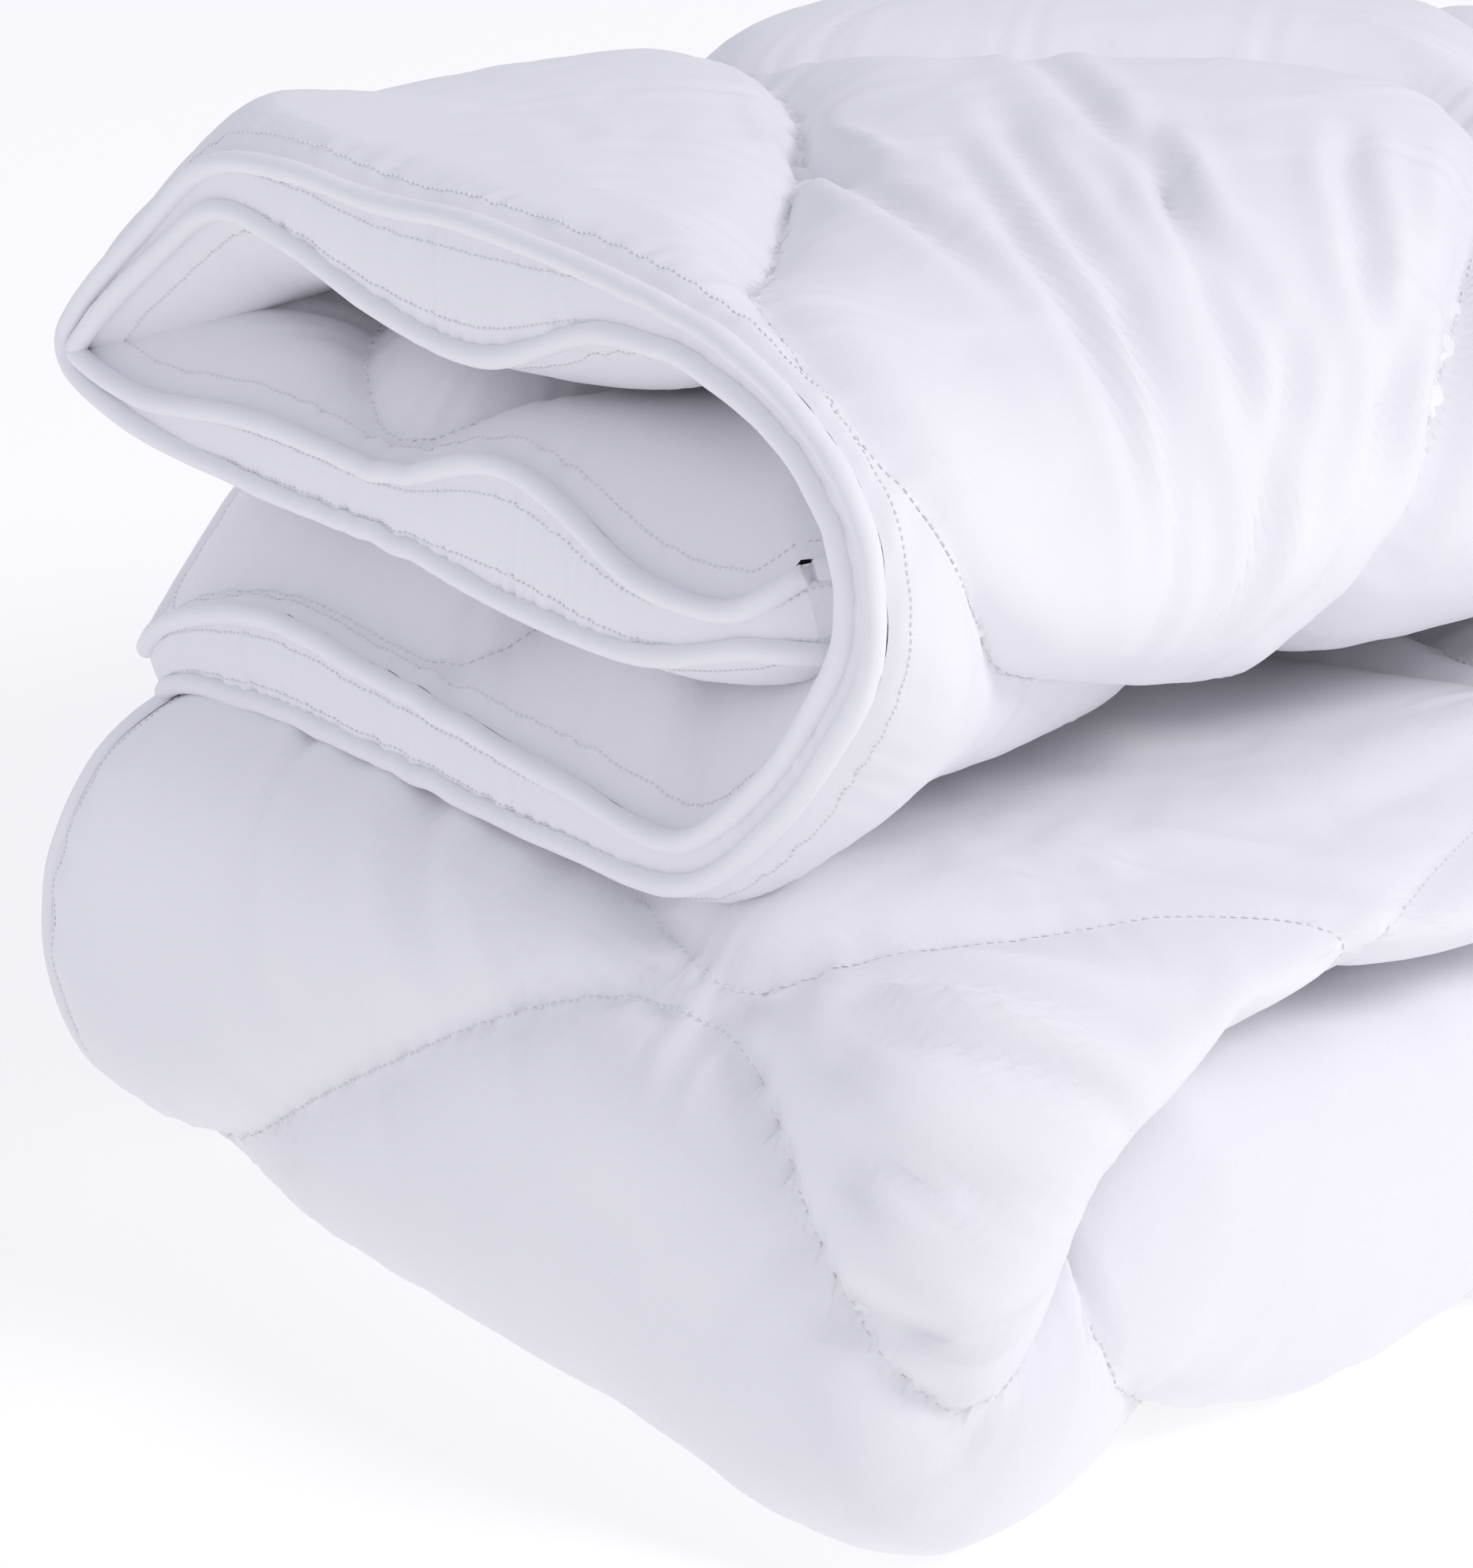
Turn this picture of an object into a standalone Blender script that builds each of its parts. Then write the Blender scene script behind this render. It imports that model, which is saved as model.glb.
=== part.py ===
"""A single duvet, folded in three across its width and then in three along its length.

The duvet is modelled flat first, as separate panels, gusset strips, piping and wadding. One
function then folds every point: across the width it rolls round two side turns, along the length
it zigzags round a back turn and a front turn. u runs across the flat duvet from the tucked edge,
v along it from the head end, and w through it, towards the face fabric. Metres, +Z up; the
origin is on the floor, under the middle of the folded stack, with the head end towards -Y."""

import math

import bmesh
import bpy

# The flat duvet.
DUVET_WIDTH = 1.35
DUVET_LENGTH = 2.00
CORNER_RADIUS = 0.030
EDGE_LOFT = 0.034
CROWN_WIDTH = 0.070
FABRIC = 0.0010
PIPING_RADIUS = 0.0034
COVER_THICKNESS = 0.0005
FIT = 0.0005  # clearance between pieces that touch
WADDING_INSET = 0.0020  # of the wadding from the sewn edges
JOINT_GAP = 0.0020  # between the piping's butted ends

# The folded stack.
UPPER_LOFT = 0.053
LOWER_LOFT = 0.027
LAYER_GAP = 0.0025
BUNDLE_GAP = 0.010
UPPER_WIDTH = 0.430
LOWER_WIDTH = 0.490
UPPER_OFFSET = -0.050  # of the upper bundle's right side from the lower one's
HEAD_SETBACK = 0.030  # of the head end behind the front turn
SETTLING = 0.300  # the stretch before the back turn in which the upper bundle settles
SETTLED_LOFT = 0.8  # how far its loft is settled by then
STACK_LENGTH = 0.712
TUCK_MARGIN = 0.0110  # from the tucked edge to the start of the right turn

# The care label, sewn flat on the foot gusset.
LABEL_LENGTH = 0.040
LABEL_WIDTH = 0.009
LABEL_THICKNESS = 0.0004
LABEL_PLACE = 0.35  # along the last run, as a share

# How finely the folds are cut into flats.
STRAIGHT_STEPS = 3
MIDDLE_STEPS = 2
TURN_STEPS = 6
INNER_TURN_STEPS = 4
PIPING_SIDES_RESOLUTION = 1
SHARP_ANGLE = math.radians(50)

UPPER_BUNDLE = 3 * UPPER_LOFT + 2 * LAYER_GAP
LOWER_BUNDLE = 3 * LOWER_LOFT + 2 * LAYER_GAP
PIVOT_GAP = BUNDLE_GAP / 2
HALF_EDGE = EDGE_LOFT / 2
GUSSET_REACH = HALF_EDGE - 2 * PIPING_RADIUS - FIT


def smooth(t):
    t = min(1.0, max(0.0, t))
    return t * t * (3 - 2 * t)


def mix(a, b, t):
    return a + (b - a) * t


def length_runs():
    """The lengths along v of: head run, back turn, middle run, front turn, foot run."""
    back_turn = math.pi * (PIVOT_GAP + (UPPER_BUNDLE + LOWER_BUNDLE) / 4)
    front_turn = math.pi * (PIVOT_GAP + LOWER_BUNDLE / 2)
    head, middle = back_pivot() - HEAD_SETBACK, back_pivot() - front_pivot()
    foot = DUVET_LENGTH - head - middle - back_turn - front_turn
    return head, back_turn, middle, front_turn, foot


def back_pivot():
    """Where the back turn is centred, from the front of the stack."""
    return STACK_LENGTH - PIVOT_GAP - (UPPER_BUNDLE + LOWER_BUNDLE) / 2


def front_pivot():
    return PIVOT_GAP + LOWER_BUNDLE


def settled(v):
    """0 at the head end and 1 from the back turn on."""
    return smooth(1 + (v - length_runs()[0]) / SETTLING)


def loft(v):
    """One layer's thickness: it settles a little before the back turn, the rest over it."""
    head, back_turn = length_runs()[:2]
    over_turn = smooth((v - head) / back_turn)
    return mix(UPPER_LOFT, LOWER_LOFT, mix(SETTLED_LOFT * settled(v), 1.0, over_turn))


def width_runs(v):
    """The lengths along u of: tucked run, left turn, top run, right turn, free run."""
    pitch, half = loft(v) + LAYER_GAP, loft(v) / 2
    left_radius, right_radius = pitch / 2 + half, pitch + half
    straight = mix(UPPER_WIDTH, LOWER_WIDTH, settled(v)) - left_radius - right_radius
    left_turn, right_turn = math.pi * left_radius, math.pi * right_radius
    free = DUVET_WIDTH - 2 * straight + TUCK_MARGIN - left_turn - right_turn
    return straight - TUCK_MARGIN, left_turn, straight, right_turn, free


def thickened(u, v, w):
    """w for the loft at this place: the crown takes over from the sewn edge."""
    inside = min(u, DUVET_WIDTH - u, v, DUVET_LENGTH - v)
    edge = min(EDGE_LOFT, loft(v))
    here = mix(edge, loft(v), smooth(inside / CROWN_WIDTH))
    share = min(1.0, abs(w) / (HALF_EDGE - 2 * PIPING_RADIUS))
    return w + math.copysign(share, w) * (here - EDGE_LOFT) / 2


def fold_across(u, v, w):
    """The place in the bundle's cross-section, x from the right side and h from its underside."""
    tucked, left_turn, top, right_turn, free = width_runs(v)
    half, pitch = loft(v) / 2, loft(v) + LAYER_GAP
    left_radius, right_radius = pitch / 2, pitch
    right_centre = -right_radius - half
    left_centre = right_centre - top
    middle = half + pitch
    if u <= tucked:
        return left_centre + tucked - u, middle - w
    u -= tucked
    if u < left_turn:
        angle = math.pi * u / left_turn
        reach = left_radius + w
        height = middle + left_radius - reach * math.cos(angle)
        return left_centre - reach * math.sin(angle), height
    u -= left_turn
    if u <= top:
        return left_centre + u, middle + pitch + w
    u -= top
    if u < right_turn:
        angle = math.pi * u / right_turn
        reach = right_radius + w
        return right_centre + reach * math.sin(angle), middle + reach * math.cos(angle)
    return right_centre - (u - right_turn), half - w


def fold(u, v, w):
    """The folded place of a point of the flat duvet, from the lower bundle's right side, the
    front of the stack and the floor."""
    x, h = fold_across(u, v, thickened(u, v, w))
    head, back_turn, middle, front_turn, _ = length_runs()
    upper_pivot = 2 * LOWER_BUNDLE + 3 * PIVOT_GAP
    lower_pivot = LOWER_BUNDLE + PIVOT_GAP
    x += mix(UPPER_OFFSET, 0.0, settled(v))
    if v < head:
        return x, HEAD_SETBACK + v, upper_pivot + PIVOT_GAP + h
    v -= head
    if v < back_turn:
        angle = math.pi * v / back_turn
        reach = PIVOT_GAP + h
        y = back_pivot() + reach * math.sin(angle)
        return x, y, upper_pivot + reach * math.cos(angle)
    v -= back_turn
    if v <= middle:
        return x, back_pivot() - v, upper_pivot - PIVOT_GAP - h
    v -= middle
    reach = PIVOT_GAP + LOWER_BUNDLE - h
    if v < front_turn:
        angle = math.pi * v / front_turn
        y = front_pivot() - reach * math.sin(angle)
        return x, y, lower_pivot + reach * math.cos(angle)
    return x, front_pivot() + v - front_turn, lower_pivot - reach


def stations(runs, steps):
    """Places along the runs: each turn cut into equal steps, each straight run at its ends and
    middle, and one place a corner radius in from either edge."""
    places, at = [0.0, CORNER_RADIUS], 0.0
    for length, parts in zip(runs, steps):
        first = 0 if at else 1
        places += [at + length * i / parts for i in range(first, parts)]
        at += length
    return places + [at - CORNER_RADIUS, at]


def v_stations():
    steps = (STRAIGHT_STEPS, TURN_STEPS, MIDDLE_STEPS, TURN_STEPS, STRAIGHT_STEPS)
    return stations(length_runs(), steps)


def u_stations(v):
    v = min(DUVET_LENGTH, max(0.0, v))
    steps = (STRAIGHT_STEPS, INNER_TURN_STEPS, STRAIGHT_STEPS, TURN_STEPS, STRAIGHT_STEPS)
    return stations(width_runs(v), steps)


def rounded(u, v):
    """Draws the corners of the flat rectangle in to CORNER_RADIUS. A point outside the rectangle
    keeps its distance from the edge, which at a corner is measured along the mitre."""
    in_u, in_v = min(DUVET_WIDTH, max(0.0, u)), min(DUVET_LENGTH, max(0.0, v))
    out_u, out_v = u - in_u, v - in_v
    if out_u and out_v:
        mitre = math.sqrt(0.5) / math.cos(math.pi / 8)
        out_u, out_v = out_u * mitre, out_v * mitre
    du, dv = min(in_u, DUVET_WIDTH - in_u), min(in_v, DUVET_LENGTH - in_v)
    if max(du, dv) < CORNER_RADIUS:
        across, along = 1 - du / CORNER_RADIUS, 1 - dv / CORNER_RADIUS
        draw_u = CORNER_RADIUS * across * (1 - math.sqrt(1 - along * along / 2))
        draw_v = CORNER_RADIUS * along * (1 - math.sqrt(1 - across * across / 2))
        in_u += draw_u if u < DUVET_WIDTH / 2 else -draw_u
        in_v += draw_v if v < DUVET_LENGTH / 2 else -draw_v
    return in_u + out_u, in_v + out_v


def slab(columns, rows, place):
    """A closed slab of columns x rows cells. place(column, row, side) gives each corner's place,
    with side 0 below and 1 above. All slabs are cut along the same diagonal."""
    bm = bmesh.new()
    bmesh.ops.create_grid(bm, x_segments=columns, y_segments=rows, size=1)
    for vertex in bm.verts:
        vertex.co.x = round((vertex.co.x + 1) / 2 * columns)
        vertex.co.y = round((vertex.co.y + 1) / 2 * rows)
    below = list(bm.faces)
    made = bmesh.ops.extrude_face_region(bm, geom=below, use_keep_orig=True)
    for item in made["geom"]:
        if isinstance(item, bmesh.types.BMVert):
            item.co.z = 1.0
    for face in list(bm.faces):
        ends = sorted(face.verts, key=lambda q: (q.co.x + q.co.y + q.co.z, q.co.x))
        bmesh.utils.face_split(face, ends[0], ends[3])
    bmesh.ops.recalc_face_normals(bm, faces=bm.faces)
    for vertex in bm.verts:
        column, row, side = (round(c) for c in vertex.co)
        vertex.co = place(column, row, side)
    if bm.calc_volume(signed=True) < 0:
        bmesh.ops.reverse_faces(bm, faces=bm.faces)
    return bm


def material(name, colour, roughness):
    made = bpy.data.materials.new(name)
    made.use_nodes = True
    shader = made.node_tree.nodes["Principled BSDF"]
    shader.inputs["Base Color"].default_value = (*colour, 1.0)
    shader.inputs["Roughness"].default_value = roughness
    shader.inputs["Metallic"].default_value = 0.0
    return made


def put(name, bm, collection, finish):
    mesh = bpy.data.meshes.new(name)
    bm.to_mesh(mesh)
    bm.free()
    mesh.materials.append(finish)
    mesh.shade_smooth()
    mesh.set_sharp_from_angle(angle=SHARP_ANGLE)
    made = bpy.data.objects.new(name, mesh)
    collection.objects.link(made)
    return made


def panel(low, high, inset):
    """A sheet of the whole duvet between two levels of w, inset from the sewn edges."""
    rows = v_stations()
    columns = [u_stations(v) for v in rows]

    def place(column, row, side):
        u, v = rounded(columns[row][column], rows[row])
        u = min(DUVET_WIDTH - inset, max(inset, u))
        v = min(DUVET_LENGTH - inset, max(inset, v))
        return fold(u, v, high if side else low)

    return slab(len(columns[0]) - 1, len(rows) - 1, place)


def edge_place(place, outward, along_u, far):
    """A point beside an edge of the flat duvet, outward of it. The ends are mitred."""
    limit = DUVET_WIDTH if along_u else DUVET_LENGTH
    mitre = outward - FIT
    along = min(limit + mitre, max(-mitre, place))
    across = (DUVET_LENGTH if along_u else DUVET_WIDTH) + outward if far else -outward
    u, v = (along, across) if along_u else (across, along)
    return rounded(u, v)


def edge_ends(places):
    """The same places, with the first and last pushed out so that edge_place mitres them."""
    return [places[0] - EDGE_LOFT, *places[1:-1], places[-1] + EDGE_LOFT]


def gusset(along_u, far):
    """One of the four strips that join the face panel's edge to the back panel's."""
    places = u_stations(DUVET_LENGTH if far else 0.0) if along_u else v_stations()
    places = edge_ends(places)
    levels = (-GUSSET_REACH, 0.0, GUSSET_REACH)

    def place(column, row, side):
        u, v = edge_place(places[column], FIT + (FABRIC if side else 0), along_u, far)
        return fold(u, v, levels[row])

    return slab(len(places) - 1, len(levels) - 1, place)


def care_label():
    """A woven label on the foot gusset's outer side."""
    runs = width_runs(DUVET_LENGTH)
    start = sum(runs[:4]) + LABEL_PLACE * runs[4]
    near = FIT + FABRIC + FIT

    def place(column, row, side):
        v = DUVET_LENGTH + near + (LABEL_THICKNESS if side else 0)
        return fold(start + column * LABEL_LENGTH, v, (row - 0.5) * LABEL_WIDTH)

    return slab(1, 1, place)


def edge_route(w):
    """The piping's centreline: round all four edges at level w, from a butt joint in the middle
    of the foot edge's free run back to it."""
    outward = PIPING_RADIUS + FIT
    head, foot, sides = u_stations(0.0), u_stations(DUVET_LENGTH), v_stations()
    joint = len(foot) - 3
    route = [(u, True, True) for u in foot[joint:-1]]
    route += [(DUVET_WIDTH, None, True)]
    route += [(v, False, True) for v in sides[-2:0:-1]]
    route += [(u, True, False) for u in head[::-1]]
    route += [(v, False, False) for v in sides[1:-1]]
    route += [(u, True, True) for u in foot[:joint]]
    points = []
    for place, along_u, far in route:
        if along_u is None:
            points.append(rounded(DUVET_WIDTH + outward, DUVET_LENGTH + outward))
        elif along_u and place in (0.0, DUVET_WIDTH):
            points.append(edge_place(mix(-1, 2, place / DUVET_WIDTH), outward, True, far))
        else:
            points.append(edge_place(place, outward, along_u, far))
    places = [fold(u, v, w) for u, v in points]
    return butted(places)


def butted(places):
    """The route with its two ends drawn together, leaving the butt joint open by
    JOINT_GAP."""
    first, last = places[0], places[-1]
    span = math.dist(first, last)
    share = 1 - JOINT_GAP / span
    return places + [tuple(mix(a, b, share) for a, b in zip(last, first))]


def tube(name, route, radius, caps, collection, finish):
    curve = bpy.data.curves.new(name, "CURVE")
    curve.dimensions = "3D"
    curve.bevel_depth = radius
    curve.bevel_resolution = PIPING_SIDES_RESOLUTION
    curve.use_fill_caps = caps
    spline = curve.splines.new("POLY")
    spline.points.add(len(route) - 1)
    for point, place in zip(spline.points, route):
        point.co = (*place, 1.0)
    curve.materials.append(finish)
    made = bpy.data.objects.new(name, curve)
    collection.objects.link(made)
    return made


def piping(side, level, collection, cotton, cover_finish):
    """A piping cord and the fabric tube sewn round it."""
    route = edge_route(level)
    core = PIPING_RADIUS - COVER_THICKNESS - 2 * FIT
    tube(f"{side}_piping_cord", route, core, True, collection, cotton)
    cover = tube(
        f"{side}_piping_cover", route, PIPING_RADIUS, False, collection, cover_finish
    )
    wall = cover.modifiers.new("Wall", "SOLIDIFY")
    wall.thickness = COVER_THICKNESS
    wall.offset = -1.0


def centre_on_floor(collection):
    """Parents every piece to an empty that stands the middle of their box on the origin."""
    depsgraph = bpy.context.evaluated_depsgraph_get()
    corners = []
    for piece in collection.objects:
        mesh = piece.evaluated_get(depsgraph).to_mesh()
        corners += [vertex.co.copy() for vertex in mesh.vertices]
    low, high = (
        [limit(c[axis] for c in corners) for axis in range(3)] for limit in (min, max)
    )
    pieces = list(collection.objects)
    floor_centre = bpy.data.objects.new("floor_centre", None)
    floor_centre.location = (-(low[0] + high[0]) / 2, -(low[1] + high[1]) / 2, -low[2])
    collection.objects.link(floor_centre)
    for piece in pieces:
        piece.parent = floor_centre


def build():
    for old in list(bpy.data.objects):
        bpy.data.objects.remove(old, do_unlink=True)
    duvet = bpy.data.collections.new("folded_duvet")
    bpy.context.scene.collection.children.link(duvet)
    white = material("white_microfibre", (0.90, 0.90, 0.93), 0.75)
    trim = material("white_piping_fabric", (0.91, 0.91, 0.93), 0.70)
    cotton = material("cotton_cord", (0.86, 0.84, 0.80), 0.90)
    fibre = material("hollowfibre_wadding", (0.93, 0.93, 0.94), 0.95)
    satin = material("label_satin", (0.88, 0.88, 0.88), 0.45)

    put("face_panel", panel(HALF_EDGE - FABRIC, HALF_EDGE, 0.0), duvet, white)
    put("back_panel", panel(-HALF_EDGE, FABRIC - HALF_EDGE, 0.0), duvet, white)
    filled = HALF_EDGE - FABRIC - FIT
    put("wadding", panel(-filled, filled, WADDING_INSET), duvet, fibre)
    for name, along_u, far in (
        ("head_gusset", True, False),
        ("foot_gusset", True, True),
        ("tucked_side_gusset", False, False),
        ("free_side_gusset", False, True),
    ):
        put(name, gusset(along_u, far), duvet, white)
    level = HALF_EDGE - PIPING_RADIUS
    piping("face", level, duvet, cotton, trim)
    piping("back", -level, duvet, cotton, trim)
    put("care_label", care_label(), duvet, satin)
    centre_on_floor(duvet)


build()
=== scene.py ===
"""The looks of the folded duvet: gathered cloth, piping, gussets, quilting and its light."""
import math

import bpy
import numpy as np
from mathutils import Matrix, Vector


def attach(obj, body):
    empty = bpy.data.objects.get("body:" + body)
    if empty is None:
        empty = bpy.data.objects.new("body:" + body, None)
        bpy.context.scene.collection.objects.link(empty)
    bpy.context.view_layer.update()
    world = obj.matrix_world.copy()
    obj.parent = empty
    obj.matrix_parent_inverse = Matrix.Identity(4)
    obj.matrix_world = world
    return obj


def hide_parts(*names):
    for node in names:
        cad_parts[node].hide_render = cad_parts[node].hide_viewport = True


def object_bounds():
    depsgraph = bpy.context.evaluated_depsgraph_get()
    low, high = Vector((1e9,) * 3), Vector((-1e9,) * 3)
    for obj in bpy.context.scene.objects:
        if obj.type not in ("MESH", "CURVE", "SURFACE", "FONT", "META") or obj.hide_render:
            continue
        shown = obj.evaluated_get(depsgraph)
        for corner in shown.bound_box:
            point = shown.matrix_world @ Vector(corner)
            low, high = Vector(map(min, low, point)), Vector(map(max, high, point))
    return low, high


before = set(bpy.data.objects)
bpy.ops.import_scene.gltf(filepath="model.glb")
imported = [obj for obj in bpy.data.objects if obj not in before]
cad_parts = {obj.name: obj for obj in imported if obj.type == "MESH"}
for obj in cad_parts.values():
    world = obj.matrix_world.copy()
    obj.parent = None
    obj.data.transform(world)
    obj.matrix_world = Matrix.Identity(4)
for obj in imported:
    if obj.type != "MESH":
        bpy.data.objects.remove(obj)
cad_low, cad_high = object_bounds()

# ---------------------------------------------------------------- the duvet's own sizes
WIDTH, LENGTH = 1.35, 2.00
CORNER_RADIUS = 0.030
PIPING_RADIUS = 0.0036
CORD_RADIUS = 0.0024
PIPING_STEP, GUSSET_STEP, GUSSET_LEVELS = 0.003, 0.0022, 13
GUSSET_BULGE, GUSSET_PUCKER, GUSSET_RISE = 0.0032, 0.0009, 0.0008

# ---------------------------------------------------------------- the folded stack
RIGHT, FRONT = cad_high.x - 0.0005, cad_low.y + 0.001
SETBACK = 0.030
PIVOT_GAP = 0.005
LOWER_BUNDLE = 0.086
UPPER_FLOOR = 0.192
BACK_PIVOT = 0.582
FRONT_PIVOT = PIVOT_GAP + LOWER_BUNDLE
UPPER_PIVOT = UPPER_FLOOR - PIVOT_GAP
LOWER_PIVOT = LOWER_BUNDLE + PIVOT_GAP
HEAD_RUN = BACK_PIVOT - SETBACK
BACK_TURN = 0.214
MIDDLE_RUN = BACK_PIVOT - FRONT_PIVOT
FRONT_TURN = 0.151
FOOT_RUN = LENGTH - HEAD_RUN - BACK_TURN - MIDDLE_RUN - FRONT_TURN
RUN_ENDS = np.cumsum([0, HEAD_RUN, BACK_TURN, MIDDLE_RUN, FRONT_TURN, FOOT_RUN])

# Cross-sections of the three-layer strip: x from the right side, height above the strip's
# floor, and thickness. Each starts at the tucked edge, goes left, turns up round the left
# fold, goes right along the top layer, round the right wrap and left to the free edge.
HEAD_SECTION = np.array([
    (-0.082, 0.094, 0.014), (-0.113, 0.082, 0.015), (-0.150, 0.074, 0.024),
    (-0.222, 0.082, 0.047), (-0.279, 0.076, 0.026), (-0.362, 0.075, 0.024),
    (-0.420, 0.073, 0.014), (-0.456, 0.083, 0.011), (-0.446, 0.099, 0.012),
    (-0.405, 0.134, 0.014), (-0.371, 0.158, 0.018), (-0.330, 0.161, 0.027),
    (-0.285, 0.156, 0.037), (-0.237, 0.156, 0.045), (-0.170, 0.166, 0.020),
    (-0.118, 0.161, 0.016), (-0.082, 0.145, 0.016), (-0.063, 0.124, 0.017),
    (-0.059, 0.094, 0.017), (-0.078, 0.058, 0.016), (-0.104, 0.027, 0.016),
    (-0.135, 0.003, 0.017), (-0.201, 0.000, 0.024), (-0.290, 0.004, 0.030),
    (-0.365, 0.003, 0.032), (-0.405, -0.008, 0.023), (-0.436, -0.030, 0.012),
])
UPPER_SECTION = np.array([
    (-0.105, 0.092, 0.022), (-0.130, 0.086, 0.040), (-0.160, 0.083, 0.050),
    (-0.235, 0.080, 0.054), (-0.290, 0.079, 0.054), (-0.365, 0.079, 0.050),
    (-0.400, 0.083, 0.044), (-0.424, 0.103, 0.044), (-0.416, 0.124, 0.046),
    (-0.388, 0.141, 0.050), (-0.350, 0.148, 0.055), (-0.305, 0.150, 0.056),
    (-0.262, 0.150, 0.056), (-0.215, 0.148, 0.057), (-0.155, 0.142, 0.056),
    (-0.115, 0.132, 0.052), (-0.088, 0.114, 0.048), (-0.076, 0.090, 0.046),
    (-0.087, 0.066, 0.044), (-0.113, 0.045, 0.043), (-0.150, 0.032, 0.044),
    (-0.188, 0.028, 0.047), (-0.242, 0.027, 0.050), (-0.315, 0.027, 0.050),
    (-0.385, 0.027, 0.047), (-0.415, 0.026, 0.038), (-0.440, 0.025, 0.024),
])
LOWER_SECTION = np.array([
    (-0.060, 0.043, 0.016), (-0.085, 0.043, 0.026), (-0.130, 0.043, 0.028),
    (-0.220, 0.043, 0.028), (-0.305, 0.043, 0.028), (-0.395, 0.043, 0.028),
    (-0.430, 0.044, 0.027), (-0.446, 0.058, 0.026), (-0.430, 0.0715, 0.027),
    (-0.400, 0.0725, 0.028), (-0.350, 0.0725, 0.028), (-0.300, 0.0725, 0.028),
    (-0.250, 0.0725, 0.028), (-0.195, 0.0725, 0.028), (-0.125, 0.0725, 0.028),
    (-0.070, 0.071, 0.028), (-0.034, 0.063, 0.027), (-0.019, 0.043, 0.026),
    (-0.034, 0.023, 0.027), (-0.070, 0.015, 0.028), (-0.110, 0.0145, 0.028),
    (-0.150, 0.0145, 0.028), (-0.230, 0.0145, 0.028), (-0.330, 0.0145, 0.028),
    (-0.405, 0.0145, 0.028), (-0.438, 0.0145, 0.027), (-0.460, 0.0145, 0.018),
])
# The crease between the two lower strips rises on the right, away from the front.
LOWER_TOP = 2 * FRONT_PIVOT
CREASE_Y = (0.0, 0.03, 0.075, 0.13, 0.30, 0.50, 0.62)
CREASE_RISE = (-0.030, -0.030, 0.005, 0.042, 0.042, 0.025, 0.0)
RISE_START, RISE_FADE = -0.17, 0.12
FRONT_SQUARENESS = 3.3
TOP = 0.3755
# The lower bundle's left end leans in towards its top and a little towards the floor.
LEFT_LEVELS = (0.0, 0.03, 0.07, 0.10, 0.15, 0.182)
LEFT_DRAW = (0.040, 0.020, 0.010, 0.014, 0.040, 0.066)
LEFT_START, LEFT_FADE, LEFT_ONSET = -0.28, 0.20, 0.10
HEAD_FADE, HEAD_PUFF = 0.075, 0.034
MORPH_START, MORPH_END = HEAD_RUN - 0.25, HEAD_RUN + BACK_TURN

# ---------------------------------------------------------------- quilting
WAVE_PITCH, WAVE_REACH = 0.1756, 0.082
FIRST_LINE = 0.105
# Where along u each line turns: alternately a crest and a trough of the even lines.
WAVE_TURNS = (0.05, 0.26, 0.50, 0.77, 1.02, 1.30)
LINE_TURNS = {
    0: (0.05, 0.26, 0.50, 0.845, 1.00, 1.20), 1: (0.05, 0.26, 0.49, 0.715, 0.93, 1.20),
    7: (0.05, 0.26, 0.50, 0.86, 0.97, 1.30), 8: (0.05, 0.26, 0.50, 0.87, 1.00, 1.31),
    9: (0.05, 0.26, 0.52, 0.79, 0.99, 1.30),
}
LINE_REACH = {0: 0.095, 1: 0.075}

# Creases in the cloth: (u, pattern) of both ends, how far the middle sags, depth and width.
CREASES = (
    (0.555, 0.184, 0.800, 0.098, -0.016, 0.0040, 0.0055),
    (0.600, 0.152, 0.720, 0.128, -0.006, 0.0030, 0.0050),
    (0.590, 0.262, 0.865, 0.168, -0.010, 0.0034, 0.0065),
    (0.650, 0.205, 0.885, 0.118, -0.014, 0.0030, 0.0060),
    (0.690, 0.160, 0.895, 0.100, -0.012, 0.0024, 0.0050),
    (0.700, 0.235, 0.890, 0.140, -0.012, 0.0030, 0.0055),
    (0.740, 0.290, 0.880, 0.200, -0.008, 0.0036, 0.0060),
    (0.760, 0.335, 0.895, 0.215, -0.006, 0.0030, 0.0055),
    (0.800, 0.140, 0.905, 0.105, -0.006, 0.0022, 0.0040),
    (0.830, 0.190, 0.905, 0.125, -0.006, 0.0026, 0.0045),
    (0.820, 0.260, 0.915, 0.150, -0.006, 0.0026, 0.0050),
    (0.940, 1.590, 0.872, 1.540, 0.006, 0.0040, 0.0060),
    (0.945, 1.570, 0.878, 1.495, 0.012, 0.0040, 0.0065),
    (0.930, 1.615, 0.870, 1.590, 0.004, 0.0034, 0.0055),
    (0.925, 1.650, 0.870, 1.640, 0.004, 0.0030, 0.0055),
    (0.960, 1.462, 0.892, 1.400, 0.010, 0.0034, 0.0070),
    (0.975, 1.490, 0.900, 1.440, 0.008, 0.0028, 0.0060),
    (1.180, 1.500, 1.100, 1.640, 0.012, 0.0022, 0.0080),
    (1.120, 1.470, 1.075, 1.600, 0.010, 0.0022, 0.0070),
    (1.240, 1.480, 1.190, 1.680, 0.012, 0.0018, 0.0090),
)
CREASE_DEPTH = 1.5

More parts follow.
